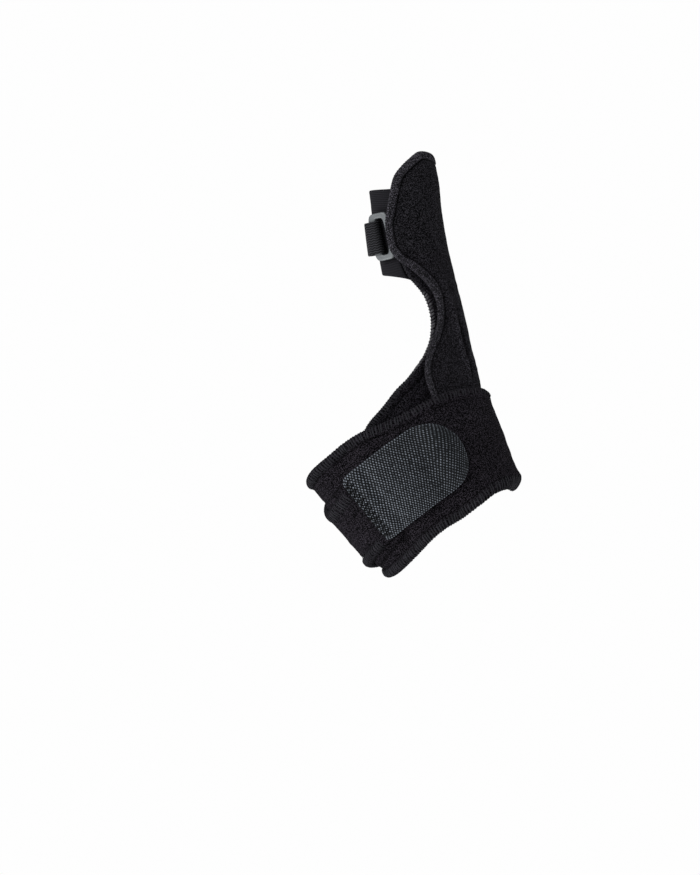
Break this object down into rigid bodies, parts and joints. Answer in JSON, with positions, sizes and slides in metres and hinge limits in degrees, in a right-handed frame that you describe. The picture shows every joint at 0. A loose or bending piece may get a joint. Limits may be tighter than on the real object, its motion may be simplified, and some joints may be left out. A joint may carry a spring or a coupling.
{
  "type": "thumb spica splint",
  "caption": "Worn fabric thumb spica splint for a left hand: padded thumb trough with a raised outer panel, elastic sleeve, ring strap and a wrap-round wrist belt with a hook tab.",
  "frame": {"origin": "middle of the wrist hollow, at half the height of the wrist belt", "axes": "+Z along the forearm towards the hand, +X to the thumb side, -Y to the back of the hand"},
  "size_m": [0.1308, 0.0544, 0.1344],
  "materials": {
    "body_cloth": "brushed loop knit, matte",
    "panel_cloth": "brushed loop knit, matte",
    "belt_cloth": "brushed loop knit, matte",
    "hook_tape": "woven, slightly glossy",
    "sleeve_knit": "smooth elastic knit",
    "strap_elastic": "herringbone elastic",
    "ring_plastic": "satin moulded"
  },
  "bodies": {
    "root": {"thumb_body": "body_cloth", "outer_panel": "panel_cloth", "wrist_belt": "belt_cloth", "hook_tab": "hook_tape", "thumb_sleeve": "sleeve_knit", "thumb_strap": "strap_elastic", "ring": "ring_plastic"}
  },
  "joints": []
}
